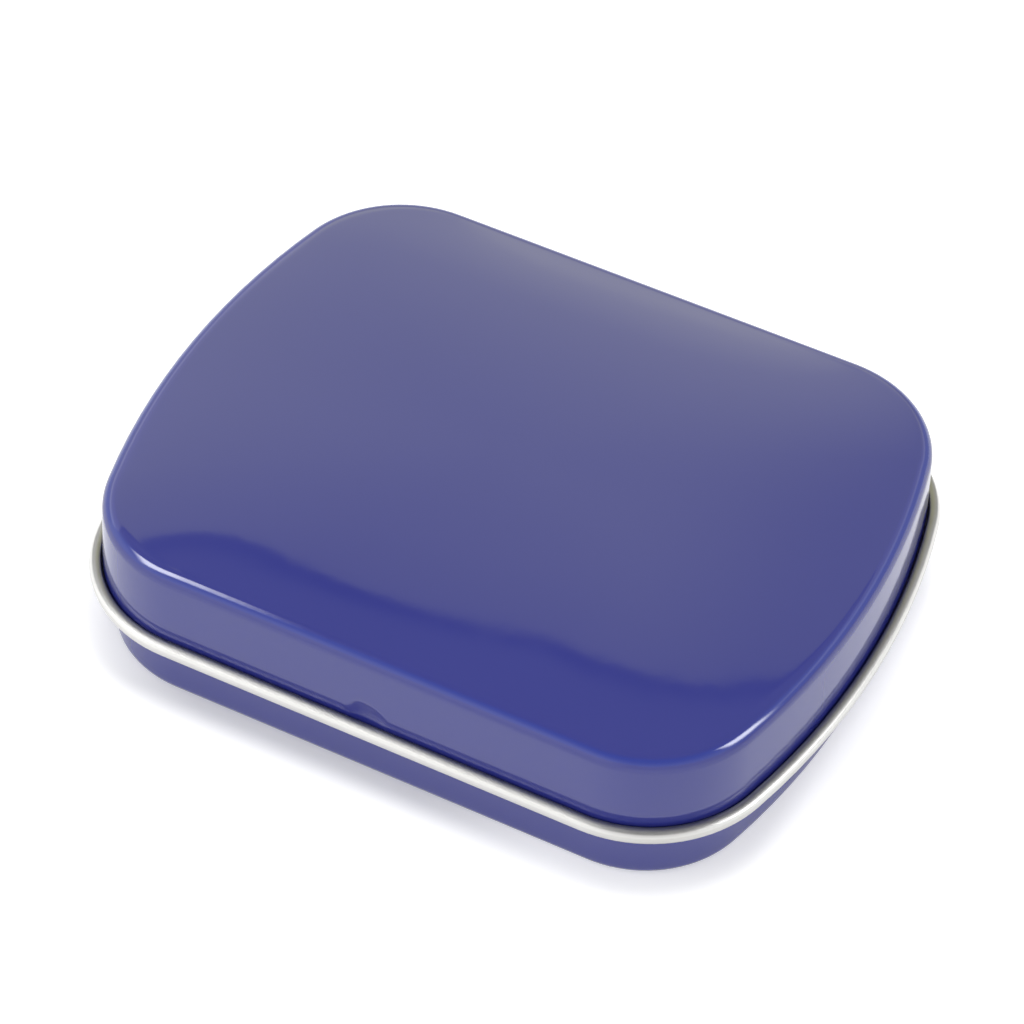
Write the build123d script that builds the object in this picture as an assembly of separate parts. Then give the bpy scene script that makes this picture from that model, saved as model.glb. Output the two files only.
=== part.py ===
from build123d import *
import math
import os

# A small hinged mint tin in two tinplate stampings: a pan, and a crowned lid over it.
# The lid's hem is rolled outwards into a bright bead. Along the back this bead is also
# the hinge rod, held by two knuckles that are lanced out of the pan's back wall.
# Lengths are in millimetres. The long side lies along X, the front faces -Y, and Z is
# up from the surface that the tin stands on.

# Plan of the tin, measured over the bead
tin_length = 62.0
tin_width = 50.0
end_arc_radius = 66.7  # the two short sides are bowed
corner_radius = 11.3

# Tinplate
lid_sheet = 0.25
pan_sheet = 0.25

# Lid
bead_radius = 0.65
bead_height = 6.3  # middle of the bead above the table
bead_roll_angle = 295.0  # how far the hem is rolled round, from the skirt
skirt_lean = 0.18  # the skirt draws in by this much up to the shoulder
shoulder_height = 13.5  # edge of the top, before its corner is rounded
shoulder_radius = 0.8
crown_rise = 1.65  # from the edge of the top to its middle
crown_power = 2.2  # 2 is a plain parabola, and more is flatter in the middle
crown_ring_shares = (1, 0.85, 0.7, 0.55, 0.4, 0.25, 0.1)  # of the top's outline

# Catch, a dent pressed into the middle of the front skirt just above the bead
catch_above_bead = 0.95
catch_length = 5.0
catch_height = 1.7
catch_depth = 0.2

# Pan
pan_gap = 0.59  # between the skirt's inside and the pan's wall, at the bead
rim_clearance = 1.1  # from the pan's top up to the edge of the lid's top
pan_foot_radius = 1.05
foot_width = 2.2  # flat ring that the tin stands on
panel_rise = 0.45  # the middle of the bottom stands clear of the table
panel_slope_width = 0.8
panel_bend_radius = 0.5
rim_radius = 0.55  # the pan's edge is rolled inwards
rim_roll_angle = 285.0

# Hinge
knuckle_spacing = 26.0
knuckle_width = 5.0
knuckle_play = 0.06  # all round the bead
knuckle_bend_radius = 0.3  # where a knuckle leaves the wall, at the middle of its sheet
lance_land = 0.56  # wall left above a lanced window, up to the start of the rim
slot_side_play = 0.35  # beside a knuckle, in the skirt
slot_top_play = 0.7  # above a knuckle, in the skirt
lance_side_play = 0.1  # beside a knuckle, in the pan's wall

# Edges that lie this near to a height count as lying at it
sheet_error = 0.01

# Places that follow from those sizes. An inset is counted inwards from the tin's plan.
half_length = tin_length / 2
half_width = tin_width / 2
skirt_inset = 2 * bead_radius - lid_sheet
shoulder_inset = skirt_inset + skirt_lean
pan_inset = 2 * bead_radius + pan_gap
pan_height = shoulder_height - rim_clearance
rim_height = pan_height - rim_radius
panel_inset = pan_inset + pan_foot_radius + foot_width + panel_slope_width
hinge_y = half_width - bead_radius
knuckle_inside = bead_radius + knuckle_play
knuckle_outside = knuckle_inside + pan_sheet
knuckle_places = (-knuckle_spacing / 2, knuckle_spacing / 2)
knuckle_root = bead_height  # where a knuckle leaves the pan's wall
knuckle_blank = rim_height - lance_land - knuckle_root  # the strip's length
end_centre_x = half_length - end_arc_radius
corner_centre_y = half_width - corner_radius
corner_reach = math.sqrt((end_arc_radius - corner_radius) ** 2 - corner_centre_y**2)
corner_centre_x = end_centre_x + corner_reach
end_turn = math.degrees(math.atan2(corner_centre_y, corner_reach))


def plan_outline(inset):
    """The tin's plan, drawn in by an inset: two straight sides, two bowed ends."""
    end_radius = end_arc_radius - inset
    turn_radius = corner_radius - inset
    side_y = half_width - inset
    curves = [
        CenterArc((end_centre_x, 0), end_radius, -end_turn, 2 * end_turn),
        CenterArc((-end_centre_x, 0), end_radius, 180 - end_turn, 2 * end_turn),
    ]
    for side in (1, -1):
        for end in (1, -1):
            corner = Vector(end * corner_centre_x, side * corner_centre_y)
            points = []
            for turn in (end_turn, (end_turn + 90) / 2, 90):
                step = Vector(turn_radius, 0).rotate(Axis.Z, turn)
                points.append(corner + Vector(end * step.X, side * step.Y))
            curves.append(ThreePointArc(*points))
        start = (-corner_centre_x, side * side_y)
        curves.append(Line(start, (corner_centre_x, side * side_y)))
    return make_face(Wire.combine(curves)[0])


def crowned_block(sheet):
    """A solid with the lid's outer shape, or its inner shape, one sheet further in."""
    edge_height = shoulder_height - sheet
    edge = plan_outline(shoulder_inset + sheet)
    skirt = loft(
        [
            Pos(0, 0, bead_height) * plan_outline(skirt_inset + sheet),
            Pos(0, 0, edge_height) * edge,
        ],
        ruled=True,
    )
    rings = []
    for share in crown_ring_shares:
        height = edge_height + crown_rise * (1 - share**crown_power)
        rings.append(Pos(0, 0, height) * scale(edge, by=(share, share, 1)))
    block = skirt + loft(rings)
    shoulder = block.edges().filter_by_position(
        Axis.Z, edge_height - sheet_error, edge_height + sheet_error
    )
    return fillet(shoulder, shoulder_radius - sheet)


def run_round(section):
    """Runs a section round the tin: straight along the sides and turned in the arcs.

    It is drawn with X as the distance outwards from the plan and Y as the height."""
    upright = Rot(90, 0, 0) * section
    side = extrude(
        Pos(-corner_centre_x, half_width, 0) * Rot(0, 0, 90) * upright,
        2 * corner_centre_x,
        dir=(1, 0, 0),
    )
    end_start = Rot(0, 0, -end_turn) * Pos(end_arc_radius, 0, 0) * upright
    end = Pos(end_centre_x, 0, 0) * revolve(end_start, Axis.Z, 2 * end_turn)
    turn_start = Rot(0, 0, end_turn) * Pos(corner_radius, 0, 0) * upright
    corner = Pos(corner_centre_x, corner_centre_y, 0) * revolve(
        turn_start, Axis.Z, 90 - end_turn
    )
    half_ring = [side, corner, mirror(corner, Plane.YZ)]
    ring = Part() + [end, mirror(end, Plane.YZ)] + half_ring
    return ring + [mirror(piece, Plane.XZ) for piece in half_ring]


def rolled_strip(middle, radius, sheet, start, turn):
    """A rolled edge, cut across: an arc of sheet of the given outside radius."""
    return trace(CenterArc(middle, radius - sheet / 2, start, turn), sheet)


def make_lid_shell():
    outer = crowned_block(0)
    shell = outer - crowned_block(lid_sheet)
    wall_y = skirt_inset - half_width
    dent_place = Pos(0, wall_y, bead_height + bead_radius + catch_above_bead)

    def dent(sheet):
        sizes = (catch_length / 2 + sheet, catch_depth + sheet, catch_height / 2 + sheet)
        return dent_place * scale(Sphere(1), by=sizes)

    shell = shell + (dent(lid_sheet) & outer) - dent(0)
    slot_height = knuckle_outside + slot_top_play
    slot = Box(
        knuckle_width + 2 * slot_side_play,
        2 * bead_radius,
        slot_height,
        align=(Align.CENTER, Align.CENTER, Align.MIN),
    )
    for knuckle_x in knuckle_places:
        shell = shell - Pos(knuckle_x, half_width - skirt_inset, bead_height) * slot
    return shell


def make_lid_bead():
    middle = (-bead_radius, bead_height)
    return run_round(rolled_strip(middle, bead_radius, lid_sheet, 180, bead_roll_angle))


def knuckle_path():
    """The middle of a knuckle's sheet: up the wall, over the bead and round it.

    The strip is as long as the window that it leaves in the wall, so what is left at the
    top of the bead sets how far it is rolled. It is drawn with X as the distance from the
    middle of the tin and Y as the height."""
    wall_y = half_width - pan_inset - pan_sheet / 2
    roll_radius = knuckle_inside + pan_sheet / 2
    top = bead_height + roll_radius
    bend = FilletPolyline(
        (wall_y, knuckle_root),
        (wall_y, top),
        (hinge_y, top),
        radius=(knuckle_bend_radius,),
    )
    roll_angle = math.degrees((knuckle_blank - bend.length) / roll_radius)
    roll = CenterArc((hinge_y, bead_height), roll_radius, 90, -roll_angle)
    return Wire.combine(bend.edges() + roll.edges())[0]


def make_base_pan():
    wall_x = -(pan_inset + pan_sheet / 2)
    floor_z = pan_sheet / 2
    panel_z = floor_z + panel_rise
    foot_x = panel_slope_width - panel_inset
    path = FilletPolyline(
        (-panel_inset - panel_bend_radius, panel_z),
        (-panel_inset, panel_z),
        (foot_x, floor_z),
        (wall_x, floor_z),
        (wall_x, rim_height),
        radius=(
            panel_bend_radius,
            panel_bend_radius,
            pan_foot_radius - pan_sheet / 2,
        ),
    )
    pan = run_round(trace(path, pan_sheet))
    panel = extrude(plan_outline(panel_inset + panel_bend_radius), pan_sheet)
    pan = pan + Pos(0, 0, panel_rise) * panel
    window = Box(
        knuckle_width + 2 * lance_side_play,
        2 * pan_sheet,
        knuckle_blank,
        align=(Align.CENTER, Align.CENTER, Align.MIN),
    )
    for knuckle_x in knuckle_places:
        pan = pan - Pos(knuckle_x, half_width + wall_x, knuckle_root) * window
    return pan


def make_base_rim():
    middle = (-pan_inset - rim_radius, rim_height)
    return run_round(rolled_strip(middle, rim_radius, pan_sheet, 0, rim_roll_angle))


def make_hinge_knuckle(knuckle_x):
    """A strip lanced from the pan's wall, bent outwards over the bead and rolled round it."""
    strip = Plane.YZ * trace(knuckle_path(), pan_sheet)
    return Pos(knuckle_x - knuckle_width / 2, 0, 0) * extrude(
        strip, knuckle_width, dir=(1, 0, 0)
    )


if __name__ == "__main__":
    os.makedirs("parts", exist_ok=True)
    left_x, right_x = knuckle_places
    nodes = {
        "base_pan": make_base_pan(),
        "base_rim": make_base_rim(),
        "hinge_knuckle_left": make_hinge_knuckle(left_x),
        "hinge_knuckle_right": make_hinge_knuckle(right_x),
        "lid_shell": make_lid_shell(),
        "lid_bead": make_lid_bead(),
    }
    for name, solid in nodes.items():
        export_step(solid, f"parts/{name}.step")
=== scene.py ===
from math import atan2, cos, pi, radians, sin, sqrt
import bmesh
import bpy
from mathutils import Matrix, Vector


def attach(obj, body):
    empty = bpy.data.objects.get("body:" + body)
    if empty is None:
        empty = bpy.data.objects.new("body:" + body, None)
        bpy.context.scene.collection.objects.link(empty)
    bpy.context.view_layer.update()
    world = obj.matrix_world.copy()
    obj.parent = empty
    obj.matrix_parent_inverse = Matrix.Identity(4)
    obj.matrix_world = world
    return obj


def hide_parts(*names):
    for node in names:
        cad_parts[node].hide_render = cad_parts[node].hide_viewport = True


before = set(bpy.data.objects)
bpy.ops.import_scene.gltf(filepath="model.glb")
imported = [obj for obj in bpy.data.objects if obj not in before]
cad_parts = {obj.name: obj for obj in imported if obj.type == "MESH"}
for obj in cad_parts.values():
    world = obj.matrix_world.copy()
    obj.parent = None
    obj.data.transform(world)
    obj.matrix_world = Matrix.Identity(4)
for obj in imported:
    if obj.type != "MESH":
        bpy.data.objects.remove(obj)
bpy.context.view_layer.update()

mm = 0.001
print("stage: the tin is loaded")

# Plan of the tin over its bead, in metres: two straight sides and two bowed ends
plan = {
    "length": 62 * mm,
    "width": 50 * mm,
    "endRadius": 66.7 * mm,
    "cornerRadius": 11.3 * mm,
    "sheet": 0.25 * mm,       # tinplate
    "beadRadius": 0.65 * mm,
    "beadHeight": 6.3 * mm,   # middle of the bead above the table
    "knuckleX": 13.0 * mm,    # the hinge's knuckles lie this far either side of the middle
    "endSteps": 14,
    "cornerSteps": 20,
    "sideStep": 1.0 * mm,     # length of the faces along a straight side
    "leastStep": 0.45,        # places nearer together than this share of a step are skipped
    "mergeReach": 0.002 * mm,
    "levelReach": 0.01 * mm,  # points this near to a height count as lying at it
}
halfLength = plan["length"] / 2
halfWidth = plan["width"] / 2
endX = halfLength - plan["endRadius"]
cornerY = halfWidth - plan["cornerRadius"]
cornerReach = sqrt((plan["endRadius"] - plan["cornerRadius"]) ** 2 - cornerY ** 2)
cornerX = endX + cornerReach
endTurn = atan2(cornerY, cornerReach)
skirtInset = 2 * plan["beadRadius"] - plan["sheet"]


def sideStops(extra):
    # places along a straight side, denser in each span (low, high, step) of extra
    stops = {-cornerX, cornerX}
    for low, high, step in [*extra, (-cornerX, cornerX, plan["sideStep"])]:
        count = max(1, round((high - low) / step))
        for i in range(count + 1):
            stop = low + (high - low) * i / count
            if all(abs(stop - other) > step * plan["leastStep"] for other in stops):
                stops.add(stop)
    return sorted(stops)


def extrudeEdges(bm, edges):
    # a new row of faces: its far vertices, and the edges between them
    made = bmesh.ops.extrude_edge_only(bm, edges=edges)["geom"]
    old = {vert for edge in edges for vert in edge.verts}
    verts = [v for v in made if isinstance(v, bmesh.types.BMVert) and v not in old]
    keep = set(verts)
    far = [e for e in made if isinstance(e, bmesh.types.BMEdge) and set(e.verts) <= keep]
    return verts, far


def runSide(bm, geom, stops, direction):
    for start, stop in zip(stops, stops[1:]):
        edges = [item for item in geom if isinstance(item, bmesh.types.BMEdge)]
        verts, far = extrudeEdges(bm, edges)
        bmesh.ops.translate(bm, verts=verts, vec=(abs(stop - start) * direction, 0, 0))
        geom = verts + far
    return geom


def turnRound(bm, geom, centreX, centreY, angle, steps):
    return bmesh.ops.spin(
        bm, geom=geom, cent=(centreX, centreY, 0), axis=(0, 0, 1), dvec=(0, 0, 0),
        angle=angle, steps=steps, use_merge=False, use_duplicate=False,
    )["geom_last"]


def sweepRound(bm, section, closed, frontExtra=(), backExtra=()):
    # runs a section of (inset, height) points round the tin's plan
    verts = [bm.verts.new((-cornerX, inset - halfWidth, height)) for inset, height in section]
    pairs = list(zip(verts, verts[1:])) + ([(verts[-1], verts[0])] if closed else [])
    geom = verts + [bm.edges.new(pair) for pair in pairs]
    cornerTurn = pi / 2 - endTurn
    steps = plan["cornerSteps"]
    for half, extra in ((1, frontExtra), (-1, backExtra)):
        geom = runSide(bm, geom, sideStops(extra)[::half], half)
        geom = turnRound(bm, geom, half * cornerX, -half * cornerY, cornerTurn, steps)
        geom = turnRound(bm, geom, half * endX, 0, 2 * endTurn, plan["endSteps"])
        geom = turnRound(bm, geom, half * cornerX, half * cornerY, cornerTurn, steps)
    bmesh.ops.remove_doubles(bm, verts=bm.verts[:], dist=plan["mergeReach"])


def topLoop(bm, height):
    # the open edges that lie at a height
    reach = plan["levelReach"]
    return [
        edge for edge in bm.edges
        if edge.is_boundary and all(abs(vert.co.z - height) < reach for vert in edge.verts)
    ]


def ringInwards(bm, loop, scaleBy):
    # one more ring of faces from a loop, shrunk towards the middle
    verts, edges = extrudeEdges(bm, loop)
    bmesh.ops.scale(bm, verts=verts, vec=(scaleBy, scaleBy, 1))
    return edges, verts


def closeMiddle(bm, loop):
    # a fan of faces over the last small ring
    face = bmesh.ops.contextual_create(bm, geom=loop)["faces"]
    return bmesh.ops.poke(bm, faces=face)["verts"]


def knuckleSpans(width):
    # the openings at the knuckles, as spans along the back
    half = width / 2
    return [
        (side * plan["knuckleX"] - half, side * plan["knuckleX"] + half, half)
        for side in (-1, 1)
    ]


def cutOpenings(bm, width, low, top):
    # opens the back wall at both knuckles
    gone = []
    for face in bm.faces:
        middle = face.calc_center_median()
        away = min(abs(middle.x - side * plan["knuckleX"]) for side in (-1, 1))
        if middle.y > cornerY and low < middle.z < top and away < width / 2:
            gone.append(face)
    bmesh.ops.delete(bm, geom=gone, context="FACES")


def faceOutwards(bm, direction):
    # the furthest face, up or down, tells whether an open shell is inside out
    bmesh.ops.recalc_face_normals(bm, faces=bm.faces[:])
    far = max(bm.faces, key=lambda face: direction * face.calc_center_median().z)
    if direction * far.normal.z < 0:
        bmesh.ops.reverse_faces(bm, faces=bm.faces[:])


def arcPoints(middle, radius, start, turnBy, steps, outwards=-1):
    # points of an arc in a section, where 90 degrees points up and 0 out of the tin: to
    # smaller insets, or with outwards 1 to larger distances from the middle
    points = []
    for i in range(steps + 1):
        angle = radians(start + turnBy * i / steps)
        points.append(
            (middle[0] + outwards * radius * cos(angle), middle[1] + radius * sin(angle)))
    return points


def finishPiece(bm, name, body, materials, node):
    mesh = bpy.data.meshes.new(name)
    bm.to_mesh(mesh)
    bm.free()
    for polygon in mesh.polygons:
        polygon.use_smooth = True
    piece = bpy.data.objects.new(name, mesh)
    bpy.context.collection.objects.link(piece)
    for material in materials:
        mesh.materials.append(material)
    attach(piece, body)
    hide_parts(node)
    return piece


def giveThickness(piece):
    # the printed side stays where it is, and the bare side lies one sheet inside it
    solid = piece.modifiers.new("sheet", "SOLIDIFY")
    solid.thickness = plan["sheet"]
    solid.offset = -1
    solid.material_offset = 1
    solid.material_offset_rim = 1


# Shader maths: a socket that can be added, multiplied and so on
class Sock:
    def __init__(self, graph, socket):
        self.graph = graph
        self.socket = socket

    def maths(self, operation, *others):
        return self.graph.node("ShaderNodeMath", {"operation": operation}, [self, *others])

    def __add__(self, other):
        return self.maths("ADD", other)

    __radd__ = __add__

    def __sub__(self, other):
        return self.maths("SUBTRACT", other)

    def __rsub__(self, other):
        return self.graph.node("ShaderNodeMath", {"operation": "SUBTRACT"}, [other, self])

    def __mul__(self, other):
        return self.maths("MULTIPLY", other)

    __rmul__ = __mul__

    def __truediv__(self, other):
        return self.maths("DIVIDE", other)


class Graph:
    def __init__(self, tree):
        self.tree = tree
        tree.nodes.clear()

    # any node: its settings first, then the values or links of its inputs
    def node(self, kind, settings=None, inputs=None, out=0):
        made = self.tree.nodes.new(kind)
        for name, value in (settings or {}).items():
            if name == "curve":
                made.color_ramp.interpolation = value
            elif name == "stops":
                ends = made.color_ramp.elements
                for element, (place, colour) in zip(ends, (value[0], value[-1])):
                    element.position = place
                    element.color = colour
                for place, colour in value[1:-1]:
                    ends.new(place).color = colour
            else:
                setattr(made, name, value)
        pairs = inputs.items() if isinstance(inputs, dict) else enumerate(inputs or [])
        for key, value in pairs:
            if isinstance(value, Sock):
                self.tree.links.new(value.socket, made.inputs[key])
            else:
                made.inputs[key].default_value = value
        return Sock(self, made.outputs[out]) if made.outputs else None

    # several outputs of one node
    def outputs(self, kind, *places, inputs=None):
        first = self.node(kind, {}, inputs)
        owner = first.socket.node
        return [Sock(self, owner.outputs[place]) for place in places]

    # 0 below low, 1 above high, and smooth between
    def step(self, value, low, high):
        return self.node(
            "ShaderNodeMapRange", {"interpolation_type": "SMOOTHSTEP"},
            {"Value": value, "From Min": low, "From Max": high},
        )

    # 0, then 1 from full to fade, and 0 again past end
    def between(self, value, fadeIn, full, fade, end):
        return self.step(value, fadeIn, full) * (1 - self.step(value, fade, end))

    def mixColours(self, factor, first, second):
        return self.node(
            "ShaderNodeMix", {"data_type": "RGBA"}, {0: factor, 6: first, 7: second}, out=2
        )

    def noise(self, vector, scale, detail=2.0, roughness=0.5):
        return self.node(
            "ShaderNodeTexNoise", {},
            {"Vector": vector, "Scale": scale, "Detail": detail, "Roughness": roughness},
        )

    def bump(self, height, distance):
        return self.node(
            "ShaderNodeBump", {}, {"Height": height, "Distance": distance, "Strength": 1.0}
        )


def grey(level):
    return (level, level, level, 1)


def newMaterial(name):
    material = bpy.data.materials.new(name)
    material.use_nodes = True
    return material, Graph(material.node_tree)


def finishMaterial(graph, values):
    shader = graph.node("ShaderNodeBsdfPrincipled", {}, values)
    graph.node("ShaderNodeOutputMaterial", {}, {"Surface": shader})


# The print: glossy royal blue lacquer, very slightly uneven, over tinplate.
# A noise is given by its scale per metre, its detail and its roughness.
printLook = {
    "colour": (0.0270, 0.0330, 0.238, 1),
    "deepColour": (0.0240, 0.0300, 0.228, 1),
    "cloud": (60, 3),               # drifts from one to the other
    "ior": 1.7,                     # lacquer over a bright sheet reflects more than plain paint
    "roughness": 0.05,
    "smear": (140, 4, 0.6),         # where the gloss is a little dull
    "smearFrom": (0.45, 0.75),
    "smearRoughness": 0.03,
    "dust": (5200, 1),
    "dustFrom": (0.78, 0.86),
    "dustRoughness": 0.1,
    "peel": (900, 2, 0.4),          # orange peel of the lacquer
    "peelHeight": 0.0000012,
    # a brighter, purer blue is painted along the shoulder, from height to height: painted light
    # where the shoulder catches it
    "paintedRimLightColour": (0.017, 0.034, 0.280, 1),
    "rim": (13.07 * mm, 13.23 * mm, 13.40 * mm, 13.58 * mm),
}


def makePrint():
    look = printLook
    material, graph = newMaterial("royalBluePrint")
    place = graph.node("ShaderNodeTexCoord", out=3)
    cloud = graph.noise(place, *look["cloud"])
    smear = graph.step(graph.noise(place, *look["smear"]), *look["smearFrom"])
    peel = graph.noise(place, *look["peel"])
    dust = graph.step(graph.noise(place, *look["dust"]), *look["dustFrom"])
    height = graph.outputs("ShaderNodeSeparateXYZ", 2, inputs=[place])[0]
    colour = graph.mixColours(cloud, look["deepColour"], look["colour"])
    rough = look["roughness"] + smear * look["smearRoughness"] + dust * look["dustRoughness"]
    finishMaterial(graph, {
        # painted light: the brighter blue band along the shoulder
        "Base Color": graph.mixColours(
            graph.between(height, *look["rim"]), colour, look["paintedRimLightColour"]),
        "Roughness": rough,
        "IOR": look["ior"],
        "Normal": graph.bump(peel, look["peelHeight"]),
    })
    return material


# Bare tinplate: bright, with the fine rolling lines of the sheet
tinLook = {
    "colour": (0.68, 0.675, 0.66, 1),
    "dullToneAndPaintedShadeColour": (0.52, 0.515, 0.50, 1),
    "lines": (1.0, 2, 0.5),
    "lineDulling": 0.35,
    "lineRoughness": 0.14,
    "lineHeight": 0.0000010,
    "blotch": (210, 3, 0.6),
    "blotchFrom": (0.35, 0.7),
    "blotchDulling": 0.25,
    "blotchShine": 0.03,
}
# how each piece stretches the lines, and how rough it is
flatSheet = {"lineScale": (30, 2200, 2200), "roughness": 0.24}  # long along X, fine across
rolledEdge = {"lineScale": (700, 700, 2600), "roughness": 0.27}
# the bead carries a band of painted highlight where it stands out, and painted shade on top
# beside the skirt, by the height over its middle as a share of its radius
rolledBead = {
    "lineScale": (700, 700, 2600),
    "roughness": 0.30,
    "paintedHighlight": (0.20, 0.50, 0.66, 0.82),
    "paintedHighlightColour": (0.78, 0.775, 0.76, 1),
    "paintedShadeFrom": (0.70, 0.86),
    "dullToneAndPaintedShadeColour": (0.33, 0.327, 0.323, 1),
    "paintedShadeRoughness": 0.10,
}


def makeTin(name, piece):
    look = tinLook
    material, graph = newMaterial(name)
    place = graph.node("ShaderNodeTexCoord", out=3)
    stretched = graph.node(
        "ShaderNodeMapping", {}, {"Vector": place, "Scale": piece["lineScale"]}
    )
    lines = graph.noise(stretched, *look["lines"])
    blotch = graph.step(graph.noise(place, *look["blotch"]), *look["blotchFrom"])
    dulling = lines * look["lineDulling"] + blotch * look["blotchDulling"]
    colour = graph.mixColours(dulling, look["colour"], look["dullToneAndPaintedShadeColour"])
    rough = piece["roughness"] + lines * look["lineRoughness"] - blotch * look["blotchShine"]
    # painted light on the bead: a brighter band where it stands out, and darker shade on its top
    # beside the skirt
    if "paintedHighlight" in piece:
        height = graph.outputs("ShaderNodeSeparateXYZ", 2, inputs=[place])[0]
        up = (height - plan["beadHeight"]) / plan["beadRadius"]
        paintedHighlight = graph.between(up, *piece["paintedHighlight"])
        colour = graph.mixColours(paintedHighlight, colour, piece["paintedHighlightColour"])
        # painted shade on the bead's top beside the skirt
        paintedShade = graph.step(up, *piece["paintedShadeFrom"])
        colour = graph.mixColours(paintedShade, colour, piece["dullToneAndPaintedShadeColour"])
        rough = rough + paintedShade * piece["paintedShadeRoughness"]
    finishMaterial(graph, {
        "Base Color": colour,
        "Metallic": 1.0,
        "Roughness": rough,
        "Normal": graph.bump(lines, look["lineHeight"]),
    })
    return material


bluePrint = makePrint()
bareTin = makeTin("bareTinplate", flatSheet)
rolledTin = makeTin("rolledTinplate", rolledEdge)
# the bead's tinplate carries a painted highlight and painted shade
beadTin = makeTin("beadTinplatePaintedLight", rolledBead)
print("stage: finishes made")


# The lid: crowned top, skirt, catch dent, and two slots for the hinge's knuckles
lid = {
    "lean": 0.18 * mm,
    "skirtRows": 26,
    "shoulderHeight": 13.5 * mm,
    "shoulderReach": 1.0 * mm,  # from the sharp edge to where its rounding ends
    "shoulderClear": 1.12,      # times that reach is kept free of rows
    "shoulderSegments": 9,
    "crownRise": 1.65 * mm,
    "crownPower": 2.2,
    "innerCorner": 3.5,         # powers of the crown's level lines, in the middle
    "outerCorner": 4.3,         # and at its edge
    "edgeBlend": 8,
    # the crown's rings, as shares of the top: the first one clears the shoulder's rounding
    "crownRings": 26,
    "firstRing": 0.955,
    "ringReach": 0.95,
    "evenRings": 0.35,          # this much of their spacing is even
    "ringPower": 1.3,           # and the rest is closer together near the edge
    "leastRing": 0.012,
    "neck": 0.018 * mm,         # the skirt draws in just above the bead
    "neckTop": 8.1 * mm,
    "neckTall": 1.1 * mm,
    "slotTop": 7.96 * mm,
    "slotWidth": 5.7 * mm,
    "slotClear": 0.12 * mm,     # no row lies nearer to the slots' top than this
}
catch = {
    "x": -1.0 * mm,
    "height": 7.7 * mm,
    "reach": (1.5 * mm, 2.3 * mm),  # to the left, and to the right
    "tall": 2.7 * mm,
    "depth": 0.15 * mm,
    "fadePower": 1.3,
    "step": 0.16 * mm,          # faces are this fine over the dent and a little beyond
    "beyond": 1.2,
}


def lidInset(height):
    lean = lid["lean"] * (height - plan["beadHeight"]) / (
        lid["shoulderHeight"] - plan["beadHeight"])
    necked = min(1, max(0, (lid["neckTop"] - height) / lid["neckTall"]))
    return skirtInset + lean + lid["neck"] * necked ** 2 * (3 - 2 * necked)


def crownLift(x, y, share):
    # level lines are the top's outline at its edge, and rounder towards the middle
    if share == 0:
        return lid["crownRise"]
    power = lid["innerCorner"] + (lid["outerCorner"] - lid["innerCorner"]) * share ** 2
    shoulder = skirtInset + lid["lean"]
    acrossShare = abs(x) / (halfLength - shoulder)
    downShare = abs(y) / (halfWidth - shoulder)
    rounded = (acrossShare ** power + downShare ** power) ** (1 / power)
    blend = share ** lid["edgeBlend"]
    level = rounded ** (1 - blend) * share ** blend
    return lid["crownRise"] * (1 - level ** lid["crownPower"])


def raiseCrown(bm, loop):
    # rings that shrink towards the middle, each lifted to the crown
    share = 1.0
    for i in range(lid["crownRings"]):
        nextShare = lid["firstRing"]
        if i:
            part = (i + 1) / (lid["crownRings"] + 1)
            spacing = lid["evenRings"] * part + (1 - lid["evenRings"]) * part ** lid["ringPower"]
            nextShare = min(1 - lid["ringReach"] * spacing, share - lid["leastRing"])
        loop, verts = ringInwards(bm, loop, nextShare / share)
        share = nextShare
        for vert in verts:
            vert.co.z = lid["shoulderHeight"] + crownLift(vert.co.x, vert.co.y, share)
    for vert in closeMiddle(bm, loop):
        vert.co.z = lid["shoulderHeight"] + crownLift(0, 0, 0)


def pressCatch(bm):
    # the catch, pressed in from the front
    toLeft, toRight = catch["reach"]
    for vert in bm.verts:
        across = vert.co.x - catch["x"]
        across = across / (toLeft if across < 0 else toRight)
        up = (vert.co.z - catch["height"]) / (catch["tall"] / 2)
        away = sqrt(across ** 2 + up ** 2)
        if vert.co.y < -cornerY and away < 1:
            vert.co.y += catch["depth"] * (1 - away ** 2) ** catch["fadePower"]


def makeLid():
    rows = lid["skirtRows"]
    low = plan["beadHeight"]
    high = lid["shoulderHeight"] - lid["shoulderReach"] * lid["shoulderClear"]
    heights = [low + (high - low) * (i / rows) for i in range(rows + 1)]
    heights = [h for h in heights if abs(h - lid["slotTop"]) > lid["slotClear"]]
    heights += [lid["slotTop"], lid["shoulderHeight"]]
    section = [(lidInset(height), height) for height in sorted(heights)]
    toLeft, toRight = (reach * catch["beyond"] for reach in catch["reach"])
    dense = [(catch["x"] - toLeft, catch["x"] + toRight, catch["step"])]
    bm = bmesh.new()
    sweepRound(bm, section, False, dense, knuckleSpans(lid["slotWidth"]))
    shoulderEdges = topLoop(bm, lid["shoulderHeight"])
    raiseCrown(bm, shoulderEdges)
    pressCatch(bm)
    cutOpenings(bm, lid["slotWidth"], 0, lid["slotTop"])
    bmesh.ops.bevel(
        bm, geom=[e for e in shoulderEdges if e.is_valid], offset=lid["shoulderReach"],
        offset_type="OFFSET", segments=lid["shoulderSegments"], profile=0.5,
        affect="EDGES", material=-1,
    )
    faceOutwards(bm, 1)
    giveThickness(finishPiece(
        bm, "lid_shell_skin", "lid", [bluePrint, bareTin], "lid_shell"))


def makeRoll(roll, name, body, material, node):
    # a rolled edge: its section goes out along the roll, and back inside it
    start, turnBy, steps = roll["start"], roll["turn"], roll["steps"]
    outer = arcPoints(roll["middle"], roll["radius"], start, turnBy, steps)
    inner = arcPoints(
        roll["middle"], roll["radius"] - plan["sheet"], start + turnBy, -turnBy, steps)
    bm = bmesh.new()
    sweepRound(bm, outer + inner, True)
    bmesh.ops.recalc_face_normals(bm, faces=bm.faces[:])
    finishPiece(bm, name, body, [material], node)


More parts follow.
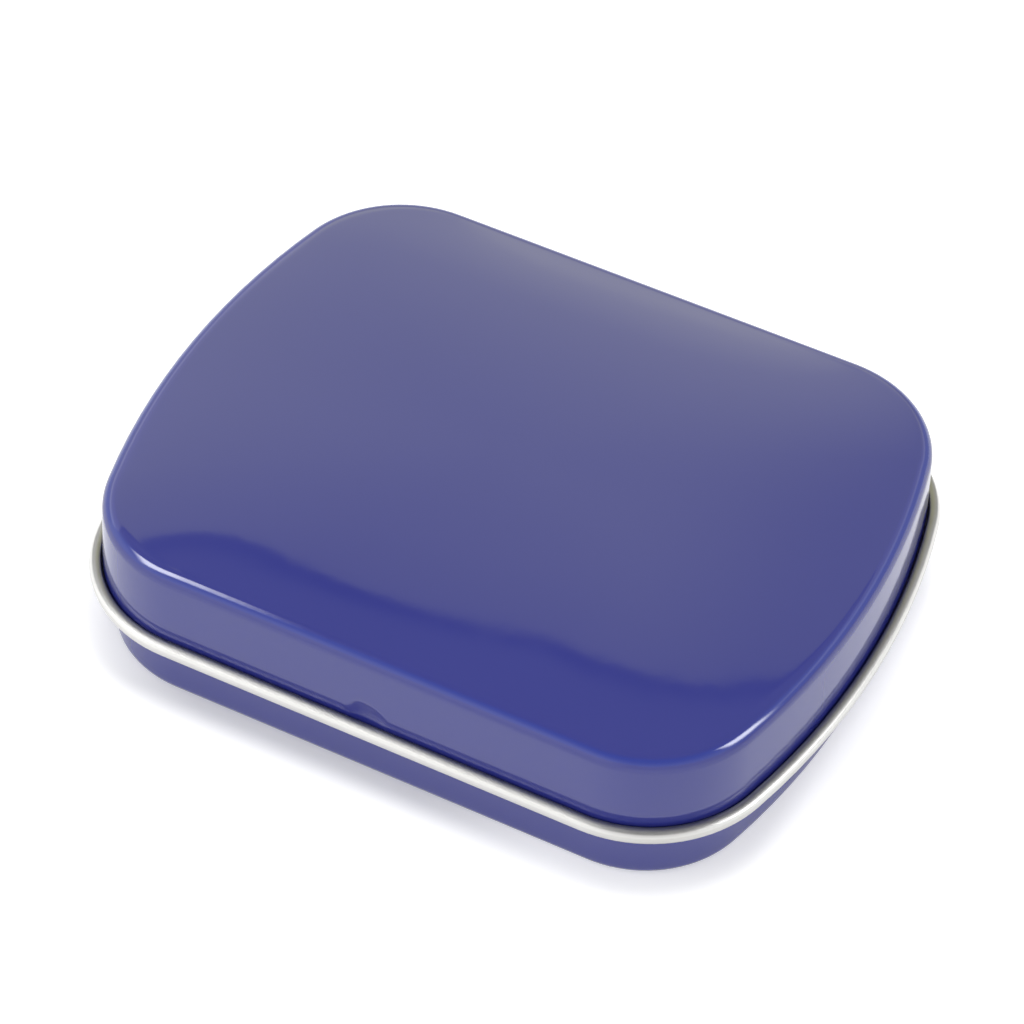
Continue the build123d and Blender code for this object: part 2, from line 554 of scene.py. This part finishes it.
# The bead: the lid's hem, rolled outwards so that its bare side shows
bead = {
    "middle": (plan["beadRadius"], plan["beadHeight"]),  # inset and height
    "radius": plan["beadRadius"],
    "start": 180,
    "turn": 295,
    "steps": 34,
}

# The pan: foot ring, raised panel, wall with two lanced windows
pan = {
    "gap": 0.59 * mm,           # between the skirt and the wall
    "height": 12.4 * mm,        # with its rolled edge
    "rimRadius": 0.55 * mm,
    "footRadius": 1.05 * mm,
    "footSteps": 10,
    "footWidth": 2.2 * mm,
    "footRows": (0.15, 0.5, 0.85),
    "panelRise": 0.45 * mm,
    "panelSlope": 0.8 * mm,
    "slopeSteps": 10,
    "panelRings": (0.985, 0.93, 0.8, 0.6, 0.4, 0.15),
    "windowWidth": 5.2 * mm,
    "windowLow": 6.3 * mm,
    "windowTop": 11.29 * mm,
    "windowClear": 0.15 * mm,   # no row lies nearer to the windows' ends than this
    "wallRows": 22,
}
panInset = 2 * plan["beadRadius"] + pan["gap"]
rimHeight = pan["height"] - pan["rimRadius"]

# The pan's rim: its edge, rolled inwards
rim = {
    "middle": (panInset + pan["rimRadius"], rimHeight),
    "radius": pan["rimRadius"],
    "start": 0,
    "turn": 285,
    "steps": 30,
}


def panSection():
    footInset = panInset + pan["footRadius"]
    panelStart = footInset + pan["footWidth"]
    panelEnd = panelStart + pan["panelSlope"]
    section = []
    for i in range(pan["slopeSteps"] + 1):
        part = i / pan["slopeSteps"]
        lift = pan["panelRise"] * (0.5 + 0.5 * cos(pi * part))
        section.append((panelEnd - pan["panelSlope"] * part, lift))
    for part in pan["footRows"]:
        section.append((panelStart - pan["footWidth"] * part, 0))
    low = pan["footRadius"]
    section += arcPoints((footInset, low), low, -90, 90, pan["footSteps"])
    rows = pan["wallRows"]
    heights = [low + (rimHeight - low) * (i + 1) / rows for i in range(rows)]
    for end in (pan["windowLow"], pan["windowTop"]):
        heights = [h for h in heights if abs(h - end) > pan["windowClear"]] + [end]
    return section + [(panInset, height) for height in sorted(heights)]


def makePan():
    bm = bmesh.new()
    sweepRound(bm, panSection(), False, (), knuckleSpans(pan["windowWidth"]))
    loop = topLoop(bm, pan["panelRise"])
    for scaleBy in pan["panelRings"]:
        loop = ringInwards(bm, loop, scaleBy)[0]
    closeMiddle(bm, loop)
    cutOpenings(bm, pan["windowWidth"], pan["windowLow"], pan["windowTop"])
    faceOutwards(bm, -1)
    giveThickness(finishPiece(
        bm, "base_pan_skin", "base", [bluePrint, bareTin], "base_pan"))


# The knuckles: strips lanced from the pan's back wall and rolled round the bead
knuckle = {
    "width": 5.0 * mm,
    "play": 0.06 * mm,
    "bendRadius": 0.3 * mm,     # at the middle of the sheet
    "bendSteps": 8,
    "rollTurn": 200,
    "rollSteps": 32,
    "sharpFrom": 50,            # degrees between faces from which an edge is rounded
    "edgeRadius": 0.04 * mm,
    "edgeSegments": 3,
}


def stripLine():
    # the middle of the strip's sheet: up the wall, over the bead and round it, in the
    # distance back from the middle of the tin and the height
    wall = halfWidth - panInset - plan["sheet"] / 2
    radius = plan["beadRadius"] + knuckle["play"] + plan["sheet"] / 2
    bend = knuckle["bendRadius"]
    corner = (wall + bend, plan["beadHeight"] + radius - bend)
    middle = (halfWidth - plan["beadRadius"], plan["beadHeight"])
    over = arcPoints(corner, bend, 180, -90, knuckle["bendSteps"], 1)
    rolled = arcPoints(middle, radius, 90, -knuckle["rollTurn"], knuckle["rollSteps"], 1)
    return [(wall, plan["beadHeight"])] + over + rolled


def stripSides(line):
    # the two faces of a strip, half a sheet either side of its middle line
    half = plan["sheet"] / 2
    outer, inner = [], []
    for i, point in enumerate(line):
        before, after = line[max(i - 1, 0)], line[min(i + 1, len(line) - 1)]
        along = Vector((after[0] - before[0], after[1] - before[1])).normalized()
        outer.append((point[0] - along.y * half, point[1] + along.x * half))
        inner.append((point[0] + along.y * half, point[1] - along.x * half))
    return outer + inner[::-1]


def makeKnuckle(name, node, x):
    bm = bmesh.new()
    left = x - knuckle["width"] / 2
    verts = [bm.verts.new((left, y, z)) for y, z in stripSides(stripLine())]
    face = bm.faces.new(verts)
    made = bmesh.ops.extrude_face_region(bm, geom=[face])["geom"]
    moved = [item for item in made if isinstance(item, bmesh.types.BMVert)]
    bmesh.ops.translate(bm, verts=moved, vec=(knuckle["width"], 0, 0))
    bmesh.ops.recalc_face_normals(bm, faces=bm.faces[:])
    sharpFrom = radians(knuckle["sharpFrom"])
    sharp = [e for e in bm.edges if len(e.link_faces) == 2 and e.calc_face_angle() > sharpFrom]
    bmesh.ops.bevel(
        bm, geom=sharp, offset=knuckle["edgeRadius"], offset_type="OFFSET",
        segments=knuckle["edgeSegments"], profile=0.5, affect="EDGES", material=-1,
    )
    finishPiece(bm, name, "base", [rolledTin], node)


makeLid()
makeRoll(bead, "lid_bead_roll", "lid", beadTin, "lid_bead")
print("stage: lid made")
makePan()
makeRoll(rim, "base_rim_roll", "base", rolledTin, "base_rim")
for side, word in ((-1, "left"), (1, "right")):
    node = "hinge_knuckle_" + word
    makeKnuckle(node + "_strip", node, side * plan["knuckleX"])
print("stage: pan and hinge made")

# The camera, where the photograph was taken from
camera = {
    "place": (0.11242, -0.23260, 0.27560),
    "right": (0.88555107, 0.46364472, 0.02885954),
    "up": (-0.35137829, 0.62789795, 0.694462),
    "back": (0.30386279, -0.62512218, 0.71895039),
    "lens": 166.26,
    "sensor": 36,
    "clip": (0.01, 50),         # metres
}


def makeCamera():
    shot = bpy.data.cameras.new("photoCamera")
    shot.lens = camera["lens"]
    shot.sensor_width = camera["sensor"]
    shot.clip_start, shot.clip_end = camera["clip"]
    shotObject = bpy.data.objects.new("photoCamera", shot)
    bpy.context.collection.objects.link(shotObject)
    axes = Matrix((camera["right"], camera["up"], camera["back"])).transposed().to_4x4()
    shotObject.matrix_world = Matrix.Translation(camera["place"]) @ axes
    bpy.context.scene.camera = shotObject


# The table: white, and lifted a little, for the camera and for glosses, towards the white
# of the backdrop
table = {
    "size": 6.0,
    "cells": 4,
    "colour": (0.87, 0.87, 0.86, 1),
    # painted shadow: beside the tin's foot, whose middle is set a little left and forward, the
    # lift is weaker, so the table is darker round the tin
    "lift": (0.15, 0.50),       # for the camera, beside the tin and away from it
    "reach": 2.3 * mm,          # from the one to the other
    "foot": (19.7 * mm, 13.7 * mm, 9.4 * mm),  # the tin's foot: straight parts, and corner
    "footMiddle": (-1.0 * mm, -0.2 * mm),
    "endLift": 0.21,            # more lift beside the tin's ends
    "endMiddle": -6 * mm,
    "endFade": (8 * mm, 22 * mm),
    "glossLift": 0.36,          # lift for glosses
    # painted shade: glosses see the table darker towards the front right
    "glossFade": (45 * mm, 65 * mm),  # less of it at the front right
    "glossFall": 0.45,
}


def makeTable():
    bm = bmesh.new()
    cells = table["cells"]
    bmesh.ops.create_grid(bm, x_segments=cells, y_segments=cells, size=table["size"] / 2)
    mesh = bpy.data.meshes.new("table")
    bm.to_mesh(mesh)
    bm.free()
    piece = bpy.data.objects.new("table", mesh)
    bpy.context.collection.objects.link(piece)
    material, graph = newMaterial("whiteTable")
    cameraRay, glossy, transmission = graph.outputs("ShaderNodeLightPath", 0, 3, 6)
    place = graph.node("ShaderNodeTexCoord", out=3)
    x, y = graph.outputs("ShaderNodeSeparateXYZ", 0, 1, inputs=[place])
    straightX, straightY, corner = table["foot"]
    middleX, middleY = table["footMiddle"]
    outX = ((x - middleX).maths("ABSOLUTE") - straightX).maths("MAXIMUM", 0.0)
    outY = ((y - middleY).maths("ABSOLUTE") - straightY).maths("MAXIMUM", 0.0)
    away = (outX * outX + outY * outY).maths("SQRT") - corner
    near, far = table["lift"]
    alongX = (x - table["endMiddle"]).maths("ABSOLUTE")
    near = near + graph.step(alongX, *table["endFade"]) * table["endLift"]
    # painted shadow: weaker glow round the tin's foot
    lift = cameraRay * (near + graph.step(away, 0.0, table["reach"]) * (far - near))
    # painted shade in the table's reflections at the front right
    fall = graph.step(x - y, *table["glossFade"]) * table["glossFall"]
    lift = lift + glossy.maths("MAXIMUM", transmission) * (table["glossLift"] * (1 - fall))
    matt = graph.node("ShaderNodeBsdfDiffuse", {}, {"Color": table["colour"]})
    glow = graph.node(
        "ShaderNodeEmission", {},
        {"Color": graph.mixColours(lift, grey(0), grey(1)), "Strength": 1.0})
    both = graph.node("ShaderNodeAddShader", {}, [matt, glow])
    graph.node("ShaderNodeOutputMaterial", {}, {"Surface": both})
    mesh.materials.append(material)


# The room, as a gloss sees it: a pale tent that is open at the top, with a bright panel
# behind and two lamps. Pairs and fours marked X, Y or Z fade from place to place along that
# part of a direction of length one.
room = {
    "matt": (0.45, 0.45),       # what matt surfaces get from the zenith, and more at the horizon
    "open": 0.40,               # the open top
    "openFall": 0.24,           # a little darker still just before the panel's edge
    "openReach": (-0.05, -0.01),  # from that edge, on the ceiling
    "lowest": 0.1,              # Z below which directions aren't carried to the ceiling
    # the panel's near edge, drawn on a ceiling one metre up: x, and how far behind it lies
    "panelEdge": (
        (-1.4, 0.0), (-1.0, 0.22), (-0.80, 0.40), (-0.68, 0.54), (-0.60, 0.573),
        (-0.546, 0.58), (-0.479, 0.561), (-0.437, 0.531), (-0.40, 0.508), (-0.37, 0.516),
        (-0.33, 0.556), (-0.277, 0.583), (-0.216, 0.63), (-0.168, 0.679), (-0.114, 0.73),
        (-0.065, 0.757), (0.02, 0.80), (0.3, 0.95),
    ),
    "edgeSoftness": 0.003,
    "panelFoot": (0.05, 0.2),   # Z
    "panelTone": 2.5,
    "panelLift": 0.27,
    "panelStops": (             # Z, and brightness as a share of the tone
        (0.0, 0.28), (0.34, 0.30), (0.44, 0.62), (0.48, 0.76), (0.50, 0.62), (0.55, 0.46),
        (0.62, 0.40), (0.70, 0.34), (0.79, 0.27), (0.84, 0.21),
    ),
    "panelFade": (-0.24, -0.06),  # X, dimmer to the right of this
    "panelFall": 0.38,
    "panelTint": (1.0, 0.99, 0.60, 1),
    "tinted": (-0.62, -0.50, 0.0, 0.2),  # X
    "sides": (0.93, 1.23),      # the tent's right side, and the rest
    "sideFade": (-0.2, 0.3),    # X
    "sideTop": (0.35, 0.95),    # Z, from where the sides give way to the open top
    "behind": (-0.1, 0.3),      # Y, from where they are as bright as the panel
    # the lamps show as streaks on the rounded shoulder
    "lamps": (
        {
            "x": (-0.74, -0.58, -0.375, -0.335),
            "y": (-0.60, -0.42, -0.18, -0.04),
            "strength": 9.0,
        },
        {
            "x": (0.54, 0.68, 0.78, 0.92),
            "y": (0.0, 0.15, 0.36, 0.42),
            "strength": 9.0,
        },
    ),
    "lampFoot": (0.1, 0.3),     # Z
}


def makeRoom():
    world = bpy.data.worlds.new("studio")
    bpy.context.scene.world = world
    world.use_nodes = True
    graph = Graph(world.node_tree)
    direction = graph.node("ShaderNodeTexCoord", out=0)
    x, y, z = graph.outputs("ShaderNodeSeparateXYZ", 0, 1, 2, inputs=[direction])
    across = x / z.maths("MAXIMUM", room["lowest"])
    down = y / z.maths("MAXIMUM", room["lowest"])

    # the panel behind, brightest low down and dimmer to the right
    low, high = room["panelEdge"][0][0], room["panelEdge"][-1][0]
    stops = [((place - low) / (high - low), grey(reach)) for place, reach in room["panelEdge"]]
    edge = graph.node(
        "ShaderNodeValToRGB", {"stops": stops, "curve": "CARDINAL"},
        {"Fac": (across - low) / (high - low)})
    beyond = down - edge
    soft = room["edgeSoftness"]
    panel = graph.step(beyond, -soft, soft) * graph.step(z, *room["panelFoot"])
    stops = [(place, grey(level)) for place, level in room["panelStops"]]
    ramp = graph.node("ShaderNodeValToRGB", {"stops": stops}, {"Fac": z})
    dimmed = graph.step(x, *room["panelFade"]) * room["panelFall"]
    panelLight = ramp * room["panelTone"] * (1 - dimmed) + room["panelLift"]

    # the tent's sides and front, up to where it is open
    right, rest = room["sides"]
    sideLight = rest + graph.step(x, *room["sideFade"]) * (right - rest)
    sideLight = sideLight + graph.step(y, *room["behind"]) * (panelLight - sideLight)
    dark = room["open"] - graph.step(beyond, *room["openReach"]) * room["openFall"]
    gloss = dark + (1 - graph.step(z, *room["sideTop"])) * (sideLight - dark)
    gloss = gloss + panel * (panelLight - gloss)

    # the lamps over the open top
    warm = panel * graph.between(x, *room["tinted"])
    for lamp in room["lamps"]:
        shape = graph.between(x, *lamp["x"]) * graph.between(y, *lamp["y"])
        shape = shape * graph.step(z, *room["lampFoot"])
        gloss = gloss + shape * lamp["strength"]
        warm = warm * (1 - shape)

    zenith, horizon = room["matt"]
    matt = zenith + (1 - z).maths("MINIMUM", 1.0) * horizon
    cameraRay, glossyRay = graph.outputs("ShaderNodeLightPath", 0, 3)
    strength = matt + glossyRay * (gloss - matt)
    strength = strength + cameraRay * (1 - strength)
    colour = graph.mixColours(warm * glossyRay, grey(1), room["panelTint"])
    shader = graph.node("ShaderNodeBackground", {}, {"Color": colour, "Strength": strength})
    graph.node("ShaderNodeOutputWorld", {}, {"Surface": shader})


# Softboxes for soft shadows and a plain level of light, which glosses don't see
softboxes = (
    {"name": "overheadSoftbox", "place": (-0.05, 0.20, 0.9), "size": 0.6, "power": 3.2},
    {"name": "leftSoftbox", "place": (-0.75, -0.60, 0.50), "size": 0.6, "power": 2.2},
    {"name": "rightSoftbox", "place": (0.65, -0.70, 0.50), "size": 0.6, "power": 2.2},
)


def makeSoftbox(box):
    light = bpy.data.lights.new(box["name"], "AREA")
    light.shape = "SQUARE"
    light.size = box["size"]
    light.energy = box["power"]
    piece = bpy.data.objects.new(box["name"], light)
    bpy.context.collection.objects.link(piece)
    piece.location = box["place"]
    piece.rotation_euler = (-Vector(box["place"])).to_track_quat("-Z", "Y").to_euler()
    piece.visible_glossy = False


makeCamera()
makeTable()
makeRoom()
for box in softboxes:
    makeSoftbox(box)
bpy.context.scene.view_settings.view_transform = "Standard"
print("stage: room lit")
